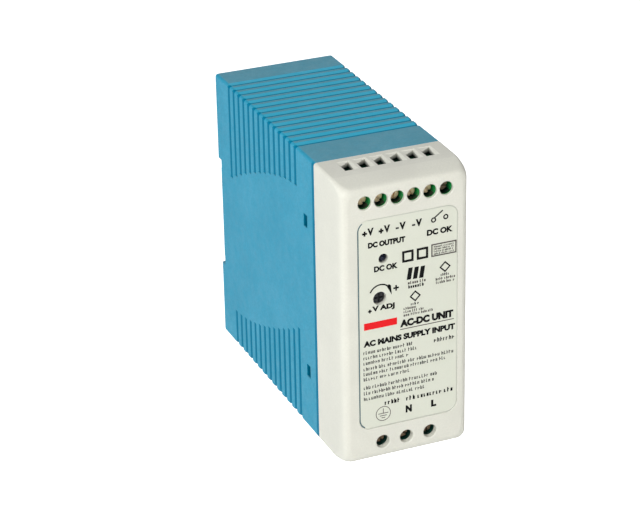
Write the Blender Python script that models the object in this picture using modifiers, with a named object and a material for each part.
"""A slim AC to DC power supply that clips onto a 35 mm top-hat rail.

World frame, metres, +Z up. The origin is the centre of the rail seat on the back of the housing.
+X is to the right seen from the front, the front face looks along -Y, and the rail lies at +Y.
Every length below is in millimetres and is turned into metres where a solid is made.
"""
import math

import bmesh
import bpy
from mathutils import Matrix, Vector

MM = 0.001

# Outside of the case.
WIDTH = 40.0
HEIGHT = 90.0
DEPTH = 100.0
SEAT_INSET = 2.7
SEAT_HEIGHT = 43.5
HALF = WIDTH / 2
BOTTOM = -SEAT_HEIGHT
TOP = BOTTOM + HEIGHT
REAR = SEAT_INSET
FRONT = REAR - DEPTH
COVER_DEPTH = 19.65
SPLIT = FRONT + COVER_DEPTH
WALL = 2.0
EDGE_RADIUS = 0.9
GAP = 0.3

# Cooling grooves around the top and the bottom of the housing.
GROOVES = 14
GROOVE_PITCH = 4.154
GROOVE_FIRST = FRONT + 33.0
GROOVE_SLOPE = 3.1
GROOVE_DEPTH = 0.5
GROOVE_SHORT = 12.4
GROOVE_LONG = 30.9
GROOVE_CURVE = 1.5
VENT_WIDTH = 0.6
VENT_REACH = (1.0, 10.5)
RIB_HEIGHT = 2.2
RIB_THICK = 1.2

# Rail recess, fixed hook and sliding latch for a 35 mm rail.
RECESS_TOP = 18.2
RECESS_BOTTOM = -18.6
SEAT_SPAN = (-15.4, 15.5)
SEAT_RELIEF = 0.25
FLANGE_ROOM = 1.35
HOOK_REACH = 2.4
HOOK_HALF = 14.0
LATCH_HALF = 6.9
LATCH_WING = 9.0
LATCH_FRONT = 0.3
LATCH_STEP = 1.2
LATCH_BACK = 2.4
LATCH_TOP = -15.7
LATCH_FOOT = BOTTOM - 3.0
SPRING_Y = -1.8
SPRING_RADIUS = 1.5
SPRING_WIRE = 0.25
SPRING_TURNS = 7
SPRING_BOTTOM = -37.4
SPRING_TOP = -26.6
CHAMBER = ((-2.1, 2.1), (-3.9, 0.6), (-38.0, -23.8))

# Snap windows in the side walls and the cover hooks that sit in them.
WINDOW_LEVELS = (25.65, -23.9)
WINDOW_Y = (FRONT + 25.35, FRONT + 28.15)
WINDOW_HALF = 2.0

# Terminals: pitch, pole count and screw height of each row.
OUTPUT_PITCH = 5.08
OUTPUT_POLES = 6
OUTPUT_LEVEL = BOTTOM + 83.8
INPUT_PITCH = 7.62
INPUT_POLES = 3
INPUT_LEVEL = BOTTOM + 6.24
WELL_RADIUS = 2.1
HEAD_RADIUS = 1.9
SHANK_RADIUS = 1.2
HEAD_Y = (FRONT + 3.0, FRONT + 6.0)
SHANK_END = FRONT + 11.9
CAGE_Y = (FRONT + 10.0, FRONT + 16.3)
CAGE_HALF_HEIGHT = 2.5
CAGE_TRAVEL = 2.4
FUNNEL_Y = (FRONT + 10.75, FRONT + 17.15)
FUNNEL_ASIDE = 0.8
BOARD_FACE = FRONT + 20.65
BOARD = 1.6

# Front face details.
LABEL_HALF = 15.9
LABEL_ASIDE = 0.6
LABEL_BOTTOM = BOTTOM + 11.3
LABEL_TOP = BOTTOM + 78.6
LABEL_CORNER = 3.5
LABEL_RECESS = 0.45
LED_X = -7.05
LED_Z = BOTTOM + 65.65
LED_HOLE = 1.45
TRIMMER_X = -8.25
TRIMMER_Z = BOTTOM + 53.25
TRIMMER_HOLE = 2.05

# Main board, which stands upright near the left wall with its components towards the right.
MAIN_X = (-14.6, -13.0)
SEAT_X = MAIN_X[1] + GAP

TURN = {
    "X": Matrix.Rotation(math.radians(90), 4, "Y"),
    "Y": Matrix.Rotation(math.radians(-90), 4, "X"),
    "Z": Matrix.Identity(4),
}

# Finish of each kind of surface: colour as 0 to 255 values, roughness, metallic.
FINISHES = {
    "blue": ((78, 158, 190), 0.5, 0.0),
    "white": ((226, 226, 217), 0.5, 0.0),
    "label": ((226, 229, 217), 0.55, 0.0),
    "black": ((32, 33, 35), 0.45, 0.0),
    "green": ((38, 150, 72), 0.4, 0.0),
    "dark_green": ((22, 74, 62), 0.4, 0.0),
    "board": ((34, 92, 58), 0.45, 0.0),
    "steel": ((172, 172, 168), 0.3, 1.0),
    "nickel": ((196, 188, 168), 0.28, 1.0),
    "aluminium": ((188, 190, 192), 0.35, 1.0),
    "copper": ((176, 96, 52), 0.35, 1.0),
    "ferrite": ((52, 52, 56), 0.6, 0.0),
    "lens": ((30, 40, 84), 0.12, 0.0),
    "tape": ((214, 178, 60), 0.5, 0.0),
    "disc_blue": ((30, 74, 150), 0.4, 0.0),
    "disc_green": ((46, 104, 66), 0.4, 0.0),
    "cream": ((222, 212, 178), 0.5, 0.0),
    "fibre": ((196, 186, 150), 0.6, 0.0),
}


def clear_scene():
    for obj in list(bpy.data.objects):
        bpy.data.objects.remove(obj, do_unlink=True)


def new_collection(name):
    collection = bpy.data.collections.new(name)
    bpy.context.scene.collection.children.link(collection)
    return collection


clear_scene()
PARTS = new_collection("din_rail_power_supply")
CUTTERS = new_collection("cutters")
CUTTERS.hide_render = True


def linear(value):
    """One 0 to 255 display value as a linear value."""
    share = value / 255
    if share <= 0.04045:
        return share / 12.92
    return ((share + 0.055) / 1.055) ** 2.4


def paint(obj, finish):
    colour, roughness, metallic = FINISHES[finish]
    material = bpy.data.materials.new(obj.name)
    material.use_nodes = True
    shader = material.node_tree.nodes["Principled BSDF"]
    shader.inputs["Base Color"].default_value = (*[linear(value) for value in colour], 1.0)
    shader.inputs["Roughness"].default_value = roughness
    shader.inputs["Metallic"].default_value = metallic
    obj.data.materials.append(material)


def add_box(bm, x_span, y_span, z_span):
    """Add a box that fills three spans."""
    spans = (x_span, y_span, z_span)
    size = [(high - low) * MM for low, high in spans]
    centre = Vector([(high + low) / 2 * MM for low, high in spans])
    matrix = Matrix.Translation(centre) @ Matrix.Diagonal((*size, 1.0))
    bmesh.ops.create_cube(bm, size=1.0, matrix=matrix)


def add_rod(bm, axis, centre, radius, length, segments=16):
    """Add a cylinder around a centre point, along one world axis."""
    matrix = Matrix.Translation(Vector(centre) * MM) @ TURN[axis]
    bmesh.ops.create_cone(
        bm, cap_ends=True, segments=segments, radius1=radius * MM, radius2=radius * MM,
        depth=length * MM, matrix=matrix)


def add_loft(bm, rings):
    """Skin a stack of outlines that have the same number of points, and cap both ends."""
    loops = [[bm.verts.new(Vector(point) * MM) for point in ring] for ring in rings]
    for near, far in zip(loops, loops[1:]):
        for index, corner in enumerate(near):
            after = (index + 1) % len(near)
            bm.faces.new((corner, near[after], far[after], far[index]))
    bm.faces.new(loops[0])
    bm.faces.new(loops[-1])


def round_rectangle(half_width, bottom, top, radius, y, steps=3, middle=0.0):
    """Outline of a rectangle with round corners, in the plane across Y at y."""
    points = []
    for corner in range(4):
        side = 1 if corner in (0, 3) else -1
        centre_x = middle + side * (half_width - radius)
        centre_z = top - radius if corner < 2 else bottom + radius
        for step in range(steps + 1):
            angle = math.radians(90 * (corner + step / steps))
            x = centre_x + radius * math.cos(angle)
            z = centre_z + radius * math.sin(angle)
            points.append((x, y, z))
    return points


def link_object(name, bm, collection, at=(0.0, 0.0, 0.0)):
    """Turn solids given in world coordinates into an object whose origin is at a point."""
    bmesh.ops.recalc_face_normals(bm, faces=bm.faces)
    origin = Vector(at) * MM
    bmesh.ops.translate(bm, verts=bm.verts, vec=-origin)
    mesh = bpy.data.meshes.new(name)
    bm.to_mesh(mesh)
    bm.free()
    obj = bpy.data.objects.new(name, mesh)
    obj.location = origin
    collection.objects.link(obj)
    return obj


def make_part(name, bm, finish, at=(0.0, 0.0, 0.0)):
    obj = link_object(name, bm, PARTS, at)
    paint(obj, finish)
    return obj


def combine(target, operation, label, bm):
    """Join a tool solid to a part, or cut it away."""
    tool = link_object(f"{target.name}_{label}", bm, CUTTERS)
    tool.hide_render = True
    tool.display_type = "WIRE"
    modifier = target.modifiers.new(label, "BOOLEAN")
    modifier.operation = operation
    modifier.solver = "EXACT"
    modifier.object = tool


def add_boxes(target, operation, label, boxes):
    bm = bmesh.new()
    for spans in boxes:
        add_box(bm, *spans)
    combine(target, operation, label, bm)


def make_box(name, finish, x_span, y_span, z_span):
    bm = bmesh.new()
    add_box(bm, x_span, y_span, z_span)
    centre = [(low + high) / 2 for low, high in (x_span, y_span, z_span)]
    return make_part(name, bm, finish, centre)


def make_rod(name, finish, axis, centre, radius, length, segments=16):
    bm = bmesh.new()
    add_rod(bm, axis, centre, radius, length, segments)
    obj = make_part(name, bm, finish, centre)
    smooth(obj)
    return obj


def smooth(obj):
    for face in obj.data.polygons:
        face.use_smooth = len(face.vertices) <= 4


def make_turned(name, finish, profile, at, axis, steps=16):
    """Spin a profile of (radius, distance) points, given from its far end down its outer side."""
    bm = bmesh.new()
    corners = [bm.verts.new((radius * MM, 0.0, distance * MM)) for radius, distance in profile]
    for start, end in zip(corners, corners[1:]):
        bm.edges.new((start, end))
    mesh = bpy.data.meshes.new(name)
    bm.to_mesh(mesh)
    bm.free()
    obj = bpy.data.objects.new(name, mesh)
    obj.location = Vector(at) * MM
    obj.rotation_euler = TURN[axis].to_euler()
    PARTS.objects.link(obj)
    turn = obj.modifiers.new("turn", "SCREW")
    turn.axis = "Z"
    turn.steps = steps
    turn.render_steps = steps
    turn.use_merge_vertices = True
    turn.merge_threshold = 0.00001
    paint(obj, finish)
    return obj


def mirrored(span):
    return (-span[1], -span[0])


# Housing

def groove_length(index):
    """How far groove number index, counted from the front, runs down the side."""
    share = index / (GROOVES - 1)
    return GROOVE_SHORT + (GROOVE_LONG - GROOVE_SHORT) * share ** GROOVE_CURVE


def groove_outline(y, depth, end, upward):
    """U-shaped outline that wraps one end of the housing and leaves depth millimetres cut away."""
    clear = 2.0
    edge = TOP if upward else BOTTOM
    sign = 1 if upward else -1
    outline = [(-HALF - clear, y, end), (-HALF - clear, y, edge + sign * clear)]
    outline += [(HALF + clear, y, edge + sign * clear), (HALF + clear, y, end)]
    inner = round_rectangle(HALF - depth, BOTTOM + depth, TOP - depth, EDGE_RADIUS, y)
    half_count = len(inner) // 2
    if upward:
        arc = inner[:half_count]
    else:
        arc = inner[half_count:][::-1]
    outline.append((HALF - depth, y, end))
    outline += arc
    outline.append((-HALF + depth, y, end))
    return outline


def add_grooves(bm):
    above = 0.05
    for index in range(GROOVES):
        y = GROOVE_FIRST + index * GROOVE_PITCH
        top_end = TOP - groove_length(index)
        bottom_end = BOTTOM + groove_length(GROOVES - 1 - index)
        for end, upward in ((top_end, True), (bottom_end, False)):
            deep = groove_outline(y, GROOVE_DEPTH, end, upward)
            shallow = groove_outline(y + GROOVE_SLOPE, -above, end, upward)
            add_loft(bm, (deep, shallow))


def add_vents(bm):
    """Narrow slots through the deep side of each groove, in two rows either side of the middle."""
    inset = 0.1
    for index in range(GROOVES):
        y = GROOVE_FIRST + index * GROOVE_PITCH + inset
        for x_span in (VENT_REACH, mirrored(VENT_REACH)):
            for level in (TOP, BOTTOM):
                add_box(bm, x_span, (y, y + VENT_WIDTH), (level - WALL - 1, level + WALL + 1))


def board_ribs(floor, roof):
    """Pairs of ribs that hold the main board's top and bottom edges."""
    bite = 0.5
    rib_y = (SPLIT + 4.6, -6.0)
    ribs = []
    left = (MAIN_X[0] - GAP - RIB_THICK, MAIN_X[0] - GAP)
    right = (MAIN_X[1] + GAP, MAIN_X[1] + GAP + RIB_THICK)
    for x_span in (left, right):
        ribs.append((x_span, rib_y, (roof - RIB_HEIGHT, roof + bite)))
        ribs.append((x_span, rib_y, (floor - bite, floor + RIB_HEIGHT)))
    return ribs


def spring_boss():
    """Block behind the rear wall that leaves a wall's thickness around the spring chamber."""
    x_span, y_span, z_span = [(low - WALL, high + WALL) for low, high in CHAMBER]
    return (x_span, (y_span[0], -WALL / 2), z_span)


def make_housing():
    bm = bmesh.new()
    chamfer = 0.5
    add_loft(bm, (
        round_rectangle(HALF, BOTTOM, TOP, EDGE_RADIUS, SPLIT),
        round_rectangle(HALF, BOTTOM, TOP, EDGE_RADIUS, REAR - chamfer),
        round_rectangle(HALF - chamfer, BOTTOM + chamfer, TOP - chamfer, EDGE_RADIUS, REAR),
    ))
    housing = make_part("rear_housing", bm, "blue")
    inner = HALF - WALL
    floor = BOTTOM + WALL
    roof = TOP - WALL
    add_boxes(housing, "DIFFERENCE", "cavity", [((-inner, inner), (SPLIT - 1, -WALL), (floor, roof))])
    add_boxes(housing, "DIFFERENCE", "back_pocket", [
        ((-inner, inner), (-WALL - 1, REAR - WALL), (RECESS_TOP + WALL + GAP, roof))])
    add_boxes(housing, "UNION", "ribs_and_boss", board_ribs(floor, roof) + [spring_boss()])
    across = (-HALF - 1, HALF + 1)
    add_boxes(housing, "DIFFERENCE", "rail_recess", [
        (across, (0.0, REAR + 1), (RECESS_BOTTOM, RECESS_TOP))])
    add_boxes(housing, "DIFFERENCE", "seat_relief", [
        (across, (-SEAT_RELIEF, 1.0), (RECESS_BOTTOM, SEAT_SPAN[0])),
        (across, (-SEAT_RELIEF, 1.0), (SEAT_SPAN[1], RECESS_TOP))])
    add_boxes(housing, "UNION", "fixed_hook", [
        ((-HOOK_HALF, HOOK_HALF), (FLANGE_ROOM, REAR - 0.1),
         (RECESS_TOP - HOOK_REACH, RECESS_TOP + 0.8))])
    wide = LATCH_WING + GAP
    narrow = LATCH_HALF + GAP
    add_boxes(housing, "DIFFERENCE", "latch_track", [
        ((-wide, wide), (0.0, LATCH_STEP + GAP), (BOTTOM - 1, RECESS_BOTTOM + 1))])
    add_boxes(housing, "DIFFERENCE", "latch_opening", [
        ((-narrow, narrow), (LATCH_STEP, REAR + 1), (BOTTOM - 1, RECESS_BOTTOM + 1))])
    add_boxes(housing, "DIFFERENCE", "spring_chamber", [CHAMBER])
    windows = []
    for level in WINDOW_LEVELS:
        z_span = (level - WINDOW_HALF, level + WINDOW_HALF)
        windows.append(((inner - 1, HALF + 1), WINDOW_Y, z_span))
        windows.append(((-HALF - 1, 1 - inner), WINDOW_Y, z_span))
    add_boxes(housing, "DIFFERENCE", "snap_windows", windows)
    grooves = bmesh.new()
    add_grooves(grooves)
    combine(housing, "DIFFERENCE", "grooves", grooves)
    vents = bmesh.new()
    add_vents(vents)
    combine(housing, "DIFFERENCE", "vents", vents)


# Cover

# Sections of the cover's outside: distance behind the front, half width, bottom and top setback, radius.
COVER_SECTIONS = (
    (0.0, 18.2, 2.7, 2.9, 2.6),
    (0.45, 19.0, 1.75, 2.05, 2.8),
    (1.3, 19.6, 1.05, 1.45, 2.7),
    (2.6, 19.9, 0.65, 1.05, 2.2),
    (5.0, 20.0, 0.3, 0.55, 1.5),
    (9.0, 20.0, 0.0, 0.1, 0.9),
    (COVER_DEPTH, 20.0, 0.0, 0.0, EDGE_RADIUS),
)

# The same for the inside of the cover.
COVER_HOLLOW = (
    (2.0, 17.4, 3.4, 3.6, 1.0),
    (6.0, 18.2, 1.8, 1.9, 1.0),
    (COVER_DEPTH + 1, 18.2, 1.8, 1.8, 1.0),
)


def cover_rings(sections):
    rings = []
    for distance, half_width, low, high, radius in sections:
        y = FRONT + distance
        rings.append(round_rectangle(half_width, BOTTOM + low, TOP - high, radius, y, 4))
    return rings


def pole_positions(pitch, poles):
    return [(index - (poles - 1) / 2) * pitch for index in range(poles)]


def add_funnel(bm, x, half_width, level, outward):
    """Square wire funnel whose back wall slopes, through the wall at level."""
    mouth = level + outward * 0.05
    throat = level - outward * (WALL + 0.2)
    narrow = half_width - 0.35
    narrow_y = (FUNNEL_Y[0] + 0.4, FUNNEL_Y[1] - 1.2)
    rings = []
    for z, half, (y0, y1) in ((mouth, half_width, FUNNEL_Y), (throat, narrow, narrow_y)):
        rings.append([(x - half, y0, z), (x + half, y0, z), (x + half, y1, z), (x - half, y1, z)])
    add_loft(bm, rings)


def add_snap_arm(target, label, side, level):
    """Spring arm inside the housing wall, with a hook for the window in that wall."""
    bm = bmesh.new()
    z_span = (level - 3.0, level + 3.0)
    x_span = (16.2, 17.6)
    add_box(bm, x_span if side > 0 else mirrored(x_span), (SPLIT - 1.0, WINDOW_Y[1] + 0.6), z_span)
    combine(target, "UNION", f"{label}_arm", bm)
    hook = bmesh.new()
    y0 = WINDOW_Y[0] + 0.2
    y1 = WINDOW_Y[1] - 0.2
    rings = []
    root, crest, tip = (side * reach for reach in (17.0, 19.4, 18.6))
    for z in (level - WINDOW_HALF + GAP, level + WINDOW_HALF - GAP):
        rings.append([(root, y0, z), (crest, y0, z), (tip, y1, z), (root, y1, z)])
    add_loft(hook, rings)
    combine(target, "UNION", f"{label}_hook", hook)


def make_cover():
    bm = bmesh.new()
    add_loft(bm, cover_rings(COVER_SECTIONS))
    cover = make_part("front_cover", bm, "white")
    hollow = bmesh.new()
    add_loft(hollow, cover_rings(COVER_HOLLOW))
    combine(cover, "DIFFERENCE", "hollow", hollow)
    add_boxes(cover, "DIFFERENCE", "terminal_pocket", [
        ((-15.6, 15.6), (FRONT + 1.0, FRONT + 3.0), (OUTPUT_LEVEL - 6.6, OUTPUT_LEVEL + 2.6))])
    inner_low = BOTTOM + WALL + GAP
    inner_high = TOP - WALL - GAP
    outer = HALF - WALL - GAP
    lip = 1.3
    collar = bmesh.new()
    add_loft(collar, (
        round_rectangle(18.6, BOTTOM + 1.4, TOP - 1.4, 0.5, SPLIT - 2.15),
        round_rectangle(18.6, BOTTOM + 1.4, TOP - 1.4, 0.5, SPLIT - 0.02)))
    combine(cover, "UNION", "collar", collar)
    tongue = bmesh.new()
    add_loft(tongue, (
        round_rectangle(outer, inner_low, inner_high, 0.5, SPLIT - 1.0),
        round_rectangle(outer, inner_low, inner_high, 0.5, SPLIT + 2.45)))
    combine(cover, "UNION", "tongue", tongue)
    bore = bmesh.new()
    add_loft(bore, (
        round_rectangle(outer - lip, inner_low + lip, inner_high - lip, 0.5, SPLIT - 3.0),
        round_rectangle(outer - lip, inner_low + lip, inner_high - lip, 0.5, SPLIT + 3.5)))
    combine(cover, "DIFFERENCE", "bore", bore)
    for level, word in zip(WINDOW_LEVELS, ("upper", "lower")):
        add_snap_arm(cover, f"{word}_right", 1, level)
        add_snap_arm(cover, f"{word}_left", -1, level)
    recess = bmesh.new()
    add_loft(recess, (
        round_rectangle(LABEL_HALF, LABEL_BOTTOM, LABEL_TOP, LABEL_CORNER, FRONT - 1.0, 5, LABEL_ASIDE),
        round_rectangle(LABEL_HALF, LABEL_BOTTOM, LABEL_TOP, LABEL_CORNER, FRONT + LABEL_RECESS, 5,
                        LABEL_ASIDE)))
    combine(cover, "DIFFERENCE", "label_recess", recess)
    holes = bmesh.new()
    for x in pole_positions(OUTPUT_PITCH, OUTPUT_POLES):
        add_rod(holes, "Y", (x, FRONT + 1.5, OUTPUT_LEVEL), WELL_RADIUS, 5.0, 20)
    for x in pole_positions(INPUT_PITCH, INPUT_POLES):
        add_rod(holes, "Y", (x, FRONT + 1.5, INPUT_LEVEL), WELL_RADIUS, 5.0, 20)
    add_rod(holes, "Y", (LED_X, FRONT + 1.5, LED_Z), LED_HOLE, 5.0, 16)
    add_rod(holes, "Y", (TRIMMER_X, FRONT + 1.5, TRIMMER_Z), TRIMMER_HOLE, 5.0, 20)
    combine(cover, "DIFFERENCE", "holes", holes)
    funnels = bmesh.new()
    for x in pole_positions(OUTPUT_PITCH, OUTPUT_POLES):
        add_funnel(funnels, x + FUNNEL_ASIDE, 1.95, TOP, 1)
    for x in pole_positions(INPUT_PITCH, INPUT_POLES):
        add_funnel(funnels, x, 2.6, BOTTOM, -1)
    combine(cover, "DIFFERENCE", "funnels", funnels)


def make_label():
    margin = 0.15
    back = FRONT + LABEL_RECESS - 0.05
    bm = bmesh.new()
    rings = []
    low, high = LABEL_BOTTOM + margin, LABEL_TOP - margin
    half = LABEL_HALF - margin
    for y in (back - 0.2, back):
        rings.append(round_rectangle(half, low, high, LABEL_CORNER - margin, y, 5, LABEL_ASIDE))
    add_loft(bm, rings)
    label = make_part("rating_label", bm, "label", (LABEL_ASIDE, back, (LABEL_BOTTOM + LABEL_TOP) / 2))
    holes = bmesh.new()
    add_rod(holes, "Y", (LED_X, back, LED_Z), LED_HOLE + 0.05, 2.0, 16)
    add_rod(holes, "Y", (TRIMMER_X, back, TRIMMER_Z), TRIMMER_HOLE + 0.05, 2.0, 20)
    combine(label, "DIFFERENCE", "holes", holes)


# Rail latch

def make_latch():
    bm = bmesh.new()
    shoulder = RECESS_BOTTOM - 0.6
    add_box(bm, (-LATCH_HALF, LATCH_HALF), (LATCH_FRONT, LATCH_BACK), (LATCH_FOOT, shoulder))
    latch = make_part("rail_latch", bm, "black", (0.0, 1.0, shoulder))
    add_boxes(latch, "UNION", "wings", [
        ((-LATCH_WING, LATCH_WING), (LATCH_FRONT - 0.05, LATCH_STEP), (BOTTOM + 1.0, shoulder - 0.8))])
    hook = bmesh.new()
    rings = []
    for x in (-LATCH_HALF, LATCH_HALF):
        rings.append([
            (x, FLANGE_ROOM, RECESS_BOTTOM - 1.0), (x, LATCH_BACK, RECESS_BOTTOM - 1.0),
            (x, LATCH_BACK, LATCH_TOP - 1.2), (x, FLANGE_ROOM + 0.3, LATCH_TOP), (x, FLANGE_ROOM, LATCH_TOP)])
    add_loft(hook, rings)
    combine(latch, "UNION", "hook", hook)
    add_boxes(latch, "UNION", "spring_tab", [((-1.8, 1.8), (-3.6, 0.6), (-26.2, -24.1))])
    add_boxes(latch, "DIFFERENCE", "driver_slot", [
        ((-3.2, 3.2), (-1.0, REAR + 1), (LATCH_FOOT + 0.9, LATCH_FOOT + 2.3))])


def make_spring():
    """Compression spring as a coil of round wire, from the chamber floor to the latch's tab."""
    curve = bpy.data.curves.new("latch_spring", "CURVE")
    curve.dimensions = "3D"
    curve.bevel_depth = SPRING_WIRE * MM
    curve.bevel_resolution = 2
    curve.use_fill_caps = True
    points_a_turn = 10
    count = SPRING_TURNS * points_a_turn + 1
    spline = curve.splines.new("POLY")
    spline.points.add(count - 1)
    height = SPRING_TOP - SPRING_BOTTOM
    for index, point in enumerate(spline.points):
        angle = 2 * math.pi * index / points_a_turn
        x = SPRING_RADIUS * math.cos(angle)
        y = SPRING_RADIUS * math.sin(angle)
        point.co = (x * MM, y * MM, height * index / (count - 1) * MM, 1.0)
    spring = bpy.data.objects.new("latch_spring", curve)
    spring.location = Vector((0.0, SPRING_Y, SPRING_BOTTOM)) * MM
    PARTS.objects.link(spring)
    paint(spring, "steel")


# Terminals

def make_terminal_block(name, finish, pitch, poles, level, outward, nose, cage_half):
    """Green block whose screws face the front and whose wires enter through its outward side."""
    def span(near, far):
        return tuple(sorted((level + outward * near, level + outward * far)))

    half_width = pitch * poles / 2 - 0.05
    bm = bmesh.new()
    add_box(bm, (-half_width, half_width), (nose, BOARD_FACE - GAP), span(-6.2, 2.45))
    block = make_part(name, bm, finish, (0.0, BOARD_FACE - GAP, level))
    add_boxes(block, "UNION", "wire_side", [
        ((-half_width + 0.02, half_width - 0.02), (FRONT + 7.0, FUNNEL_Y[1] - 0.05), span(0.0, 3.8))])
    wells = bmesh.new()
    seat = HEAD_Y[1] + GAP
    for x in pole_positions(pitch, poles):
        add_rod(wells, "Y", (x, (nose - 1 + seat) / 2, level), WELL_RADIUS, seat - nose + 1, 20)
    combine(block, "DIFFERENCE", "wells", wells)
    chambers = []
    entries = []
    chamber_y = (CAGE_Y[0] - CAGE_TRAVEL - 0.5, CAGE_Y[1] + 0.4)
    for x in pole_positions(pitch, poles):
        room = cage_half + 0.18
        chambers.append(((x - room, x + room), chamber_y, span(-7.2, CAGE_HALF_HEIGHT + GAP)))
        entries.append(((x - cage_half + 0.35, x + cage_half - 0.35),
                        (FUNNEL_Y[0] + 0.6, FUNNEL_Y[1] - 1.3), span(1.0, 5.0)))
    add_boxes(block, "DIFFERENCE", "chambers", chambers)
    add_boxes(block, "DIFFERENCE", "entries", entries)
    bores = bmesh.new()
    for x in pole_positions(pitch, poles):
        add_rod(bores, "Y", (x, FRONT + 7.0, level), SHANK_RADIUS + 0.2, 4.0, 12)
    combine(block, "DIFFERENCE", "bores", bores)


def make_terminal_screw(name, x, level, slot_angle):
    head_length = HEAD_Y[1] - HEAD_Y[0]
    length = SHANK_END - HEAD_Y[0]
    rim = 0.25
    profile = (
        (0.0, length), (SHANK_RADIUS, length), (SHANK_RADIUS, head_length),
        (HEAD_RADIUS, head_length), (HEAD_RADIUS, rim), (HEAD_RADIUS - rim, 0.0), (0.0, 0.0))
    screw = make_turned(name, "nickel", profile, (x, HEAD_Y[0], level), "Y", 12)
    slot = bmesh.new()
    half = HEAD_RADIUS + 0.3
    add_box(slot, (-half, half), (-0.5, 0.9), (-0.3, 0.3))
    bmesh.ops.rotate(slot, verts=slot.verts, matrix=Matrix.Rotation(math.radians(slot_angle), 3, "Y"))
    bmesh.ops.translate(slot, verts=slot.verts, vec=Vector((x, HEAD_Y[0], level)) * MM)
    combine(screw, "DIFFERENCE", "slot", slot)


def make_clamp_cage(name, x, level, cage_half):
    """Square steel cage: the screw threads through its front bar and its back bar lifts the wire."""
    nut = 1.7
    bar = 0.9
    side = 0.45
    bm = bmesh.new()
    z_span = (level - CAGE_HALF_HEIGHT, level + CAGE_HALF_HEIGHT)
    add_box(bm, (x - cage_half, x + cage_half), CAGE_Y, z_span)
    cage = make_part(name, bm, "steel", (x, CAGE_Y[0], level))
    add_boxes(cage, "DIFFERENCE", "window", [
        ((x - cage_half + side, x + cage_half - side), (CAGE_Y[0] + nut, CAGE_Y[1] - bar),
         (level - CAGE_HALF_HEIGHT - 1, level + CAGE_HALF_HEIGHT + 1))])
    bore = bmesh.new()
    add_rod(bore, "Y", (x, CAGE_Y[0] + nut / 2, level), SHANK_RADIUS + 0.1, nut + 1, 12)
    combine(cage, "DIFFERENCE", "thread", bore)


def make_terminals():
    output_cage = 2.1
    input_cage = 2.8
    make_terminal_block("output_terminal_block", "green", OUTPUT_PITCH, OUTPUT_POLES,
                        OUTPUT_LEVEL, 1, FRONT + 1.3, output_cage)
    make_terminal_block("input_terminal_block", "dark_green", INPUT_PITCH, INPUT_POLES,
                        INPUT_LEVEL, -1, FRONT + 2.3, input_cage)
    rows = (
        ("output", OUTPUT_PITCH, OUTPUT_POLES, OUTPUT_LEVEL, output_cage),
        ("input", INPUT_PITCH, INPUT_POLES, INPUT_LEVEL, input_cage),
    )
    for word, pitch, poles, level, cage_half in rows:
        for index, x in enumerate(pole_positions(pitch, poles)):
            number = index + 1
            make_terminal_screw(f"{word}_screw_{number}", x, level, 37.0 * number)
            make_clamp_cage(f"{word}_clamp_{number}", x, level, cage_half)


# Boards and front controls

def make_boards():
    make_box("front_board", "board", (-16.0, 16.0), (BOARD_FACE, BOARD_FACE + BOARD),
             (BOTTOM + 4.0, TOP - 4.0))
    main_front = BOARD_FACE + BOARD + GAP
    make_box("main_board", "board", MAIN_X, (main_front, -7.0), (BOTTOM + WALL + GAP, TOP - WALL - GAP))
    make_box("indicator_board", "board", (-13.0, 13.0), (FRONT + 7.2, FRONT + 8.6), (0.0, 28.0))
    make_box("board_link", "black", (6.0, 8.5), (FRONT + 8.9, BOARD_FACE - GAP), (6.0, 21.0))
    header_y = (main_front + GAP, main_front + 2.5)
    make_box("output_header", "black", (SEAT_X, SEAT_X + 2.5), header_y, (-2.0, 15.8))
    make_box("input_header", "black", (SEAT_X, SEAT_X + 2.5), header_y, (-39.0, -26.3))
    make_box("insulation_sheet", "fibre", (-17.6, -17.2), (SPLIT + 12.0, -5.0),
             (BOTTOM + 4.5, TOP - 4.5))


def make_trimmer():
    face = FRONT + 2.4
    half = 3.3
    body = make_box("trimmer_body", "disc_blue", (TRIMMER_X - half, TRIMMER_X + half),
                    (face, FRONT + 6.9), (TRIMMER_Z - half, TRIMMER_Z + half))
    bore = bmesh.new()
    add_rod(bore, "Y", (TRIMMER_X, face, TRIMMER_Z), 2.0, 5.0, 16)
    combine(body, "DIFFERENCE", "rotor_bore", bore)
    rotor_front = FRONT + 1.0
    rotor_length = 3.5
    profile = ((0.0, rotor_length), (1.75, rotor_length), (1.75, 0.2), (1.55, 0.0), (0.0, 0.0))
    rotor = make_turned("trimmer_rotor", "black", profile, (TRIMMER_X, rotor_front, TRIMMER_Z), "Y", 16)
    add_boxes(rotor, "DIFFERENCE", "slot", [
        ((TRIMMER_X - 1.4, TRIMMER_X + 1.4), (rotor_front - 1, rotor_front + 0.7),
         (TRIMMER_Z - 0.3, TRIMMER_Z + 0.3))])


def make_led():
    tip = FRONT + 0.3
    profile = ((0.0, 6.6), (1.7, 6.6), (1.7, 5.6), (1.35, 5.6), (1.35, 1.0), (1.1, 0.35),
               (0.6, 0.05), (0.0, 0.0))
    make_turned("status_led", "lens", profile, (LED_X, tip, LED_Z), "Y", 16)


# Mains input parts on the main board

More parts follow.
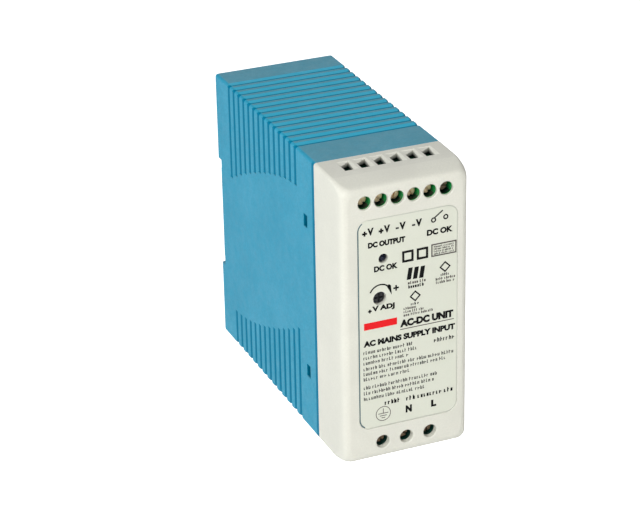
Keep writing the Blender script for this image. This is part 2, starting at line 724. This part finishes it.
def make_input_parts():
    fuse_height = 8.0
    make_rod("fuse", "black", "X", (SEAT_X + fuse_height / 2, -66.6, -33.0), 4.2, fuse_height)
    make_rod("inrush_thermistor", "disc_green", "Y", (SEAT_X + 5.3, -66.0, -19.0), 5.0, 3.6)
    make_rod("surge_varistor", "disc_blue", "Y", (SEAT_X + 5.5, -58.5, -33.5), 5.2, 4.0)
    make_box("line_capacitor", "tape", (SEAT_X, SEAT_X + 15.0), (-54.5, -36.5), (-38.9, -30.4))
    make_rod("safety_capacitor_1", "disc_blue", "Z", (SEAT_X + 4.4, -57.5, -3.0), 4.0, 3.0)
    make_rod("safety_capacitor_2", "disc_blue", "Z", (SEAT_X + 4.4, -57.5, 6.0), 4.0, 3.0)
    make_box("bridge_rectifier", "black", (SEAT_X, SEAT_X + 11.0), (-33.5, -18.5), (-38.9, -35.4))
    bulk_height = 27.0
    groove = 3.0
    profile = ((0.0, bulk_height), (7.6, bulk_height), (8.0, bulk_height - 0.5), (8.0, groove + 1.2),
               (7.5, groove), (8.0, groove - 1.2), (8.0, 0.3), (7.7, 0.0), (0.0, 0.0))
    make_turned("bulk_capacitor", "black", profile, (SEAT_X, -16.4, -26.0), "X")


def make_line_choke():
    """Ring core with its winding, flat on the board."""
    ring = 5.2
    tube = 2.7
    points = 10
    steps = 20
    bm = bmesh.new()
    circle = []
    for index in range(points):
        angle = 2 * math.pi * index / points
        x = ring + tube * math.cos(angle)
        circle.append(bm.verts.new((x * MM, 0.0, tube * math.sin(angle) * MM)))
    edges = [bm.edges.new(pair) for pair in zip(circle, circle[1:] + circle[:1])]
    bmesh.ops.spin(bm, geom=circle + edges, cent=(0, 0, 0), axis=(0, 0, 1),
                   angle=2 * math.pi, steps=steps, use_merge=True)
    bmesh.ops.remove_doubles(bm, verts=bm.verts, dist=0.00001)
    matrix = Matrix.Translation(Vector((SEAT_X + tube, -46.0, -20.0)) * MM) @ TURN["X"]
    bmesh.ops.transform(bm, matrix=matrix, verts=bm.verts)
    choke = make_part("line_choke", bm, "copper", (SEAT_X + tube, -46.0, -20.0))
    smooth(choke)


# Converter parts on the main board

def make_transformer():
    core_x = (SEAT_X + 4.5, SEAT_X + 16.5)
    bm = bmesh.new()
    add_box(bm, core_x, (-51.0, -29.0), (-7.0, 19.0))
    core = make_part("transformer_core", bm, "ferrite", (SEAT_X + 10.5, -40.0, 6.0))
    add_boxes(core, "DIFFERENCE", "windows", [
        ((core_x[0] - 1, core_x[1] + 1), (-47.8, -43.0), (-3.5, 15.5)),
        ((core_x[0] - 1, core_x[1] + 1), (-37.0, -32.2), (-3.5, 15.5))])
    winding = bmesh.new()
    add_box(winding, (SEAT_X, SEAT_X + 21.0), (-47.5, -32.5), (-3.2, 15.2))
    coil = make_part("transformer_winding", winding, "tape", (SEAT_X + 10.5, -40.0, 6.0))
    add_boxes(coil, "DIFFERENCE", "core_hole", [
        ((core_x[0] - GAP, core_x[1] + GAP), (-43.3, -36.7), (-10.0, 22.0))])


def make_power_switch(label, plate_y, level, plate_name, device_name, screw_name):
    """Flat-backed power device screwed to an upright aluminium plate."""
    plate_half = 10.5
    device_y = plate_y[1] + 0.1
    screw_x = SEAT_X + 17.5
    plate = make_box(plate_name, "aluminium", (SEAT_X, SEAT_X + 22.0), plate_y,
                     (level - plate_half, level + plate_half))
    device = make_box(device_name, "black", (SEAT_X + 4.0, SEAT_X + 13.5),
                      (device_y, device_y + 4.5), (level - 5.0, level + 5.0))
    add_boxes(device, "UNION", "tab", [
        ((SEAT_X + 5.0, SEAT_X + 20.5), (device_y + 0.05, device_y + 1.4), (level - 4.9, level + 4.9))])
    for target in (plate, device):
        hole = bmesh.new()
        add_rod(hole, "Y", (screw_x, plate_y[1], level), 1.7, 12.0, 12)
        combine(target, "DIFFERENCE", f"{label}_hole", hole)
    profile = ((0.0, 2.0), (2.8, 2.0), (2.8, 0.0), (1.5, 0.0), (1.5, -6.0), (0.0, -6.0))
    make_turned(screw_name, "steel", profile, (screw_x, device_y + 1.7, level), "Y", 12)


def make_power_switches():
    make_power_switch("primary", (-33.0, -31.2), -18.0,
                      "switch_heatsink", "switch_transistor", "switch_screw")
    make_power_switch("secondary", (-26.0, -24.2), 6.0,
                      "diode_heatsink", "output_diode", "diode_screw")


def make_output_parts():
    height = 20.0
    profile = ((0.0, height), (4.7, height), (5.0, height - 0.4), (5.0, 3.2), (4.65, 2.3),
               (5.0, 1.4), (5.0, 0.0), (0.0, 0.0))
    for index, y in enumerate((-20.0, -32.0, -44.0)):
        make_turned(f"output_capacitor_{index + 1}", "black", profile, (SEAT_X, y, 31.0), "X")
    choke = ((0.0, 14.0), (5.5, 14.0), (5.5, 12.5), (4.6, 12.3), (4.6, 1.7), (5.5, 1.5),
             (5.5, 0.0), (0.0, 0.0))
    make_turned("output_choke", "copper", choke, (SEAT_X, -57.0, 31.0), "X")
    make_box("feedback_optocoupler", "black", (SEAT_X, SEAT_X + 3.5), (-62.6, -58.0), (12.6, 19.0))
    make_box("status_relay", "cream", (SEAT_X, SEAT_X + 10.5), (-72.0, -64.5), (20.0, 35.0))
    make_box("controller_chip", "black", (SEAT_X, SEAT_X + 3.4), (-17.0, -10.6), (-12.6, -3.0))


def build():
    make_housing()
    make_cover()
    make_label()
    make_latch()
    make_spring()
    make_terminals()
    make_boards()
    make_trimmer()
    make_led()
    make_input_parts()
    make_line_choke()
    make_transformer()
    make_power_switches()
    make_output_parts()


build()
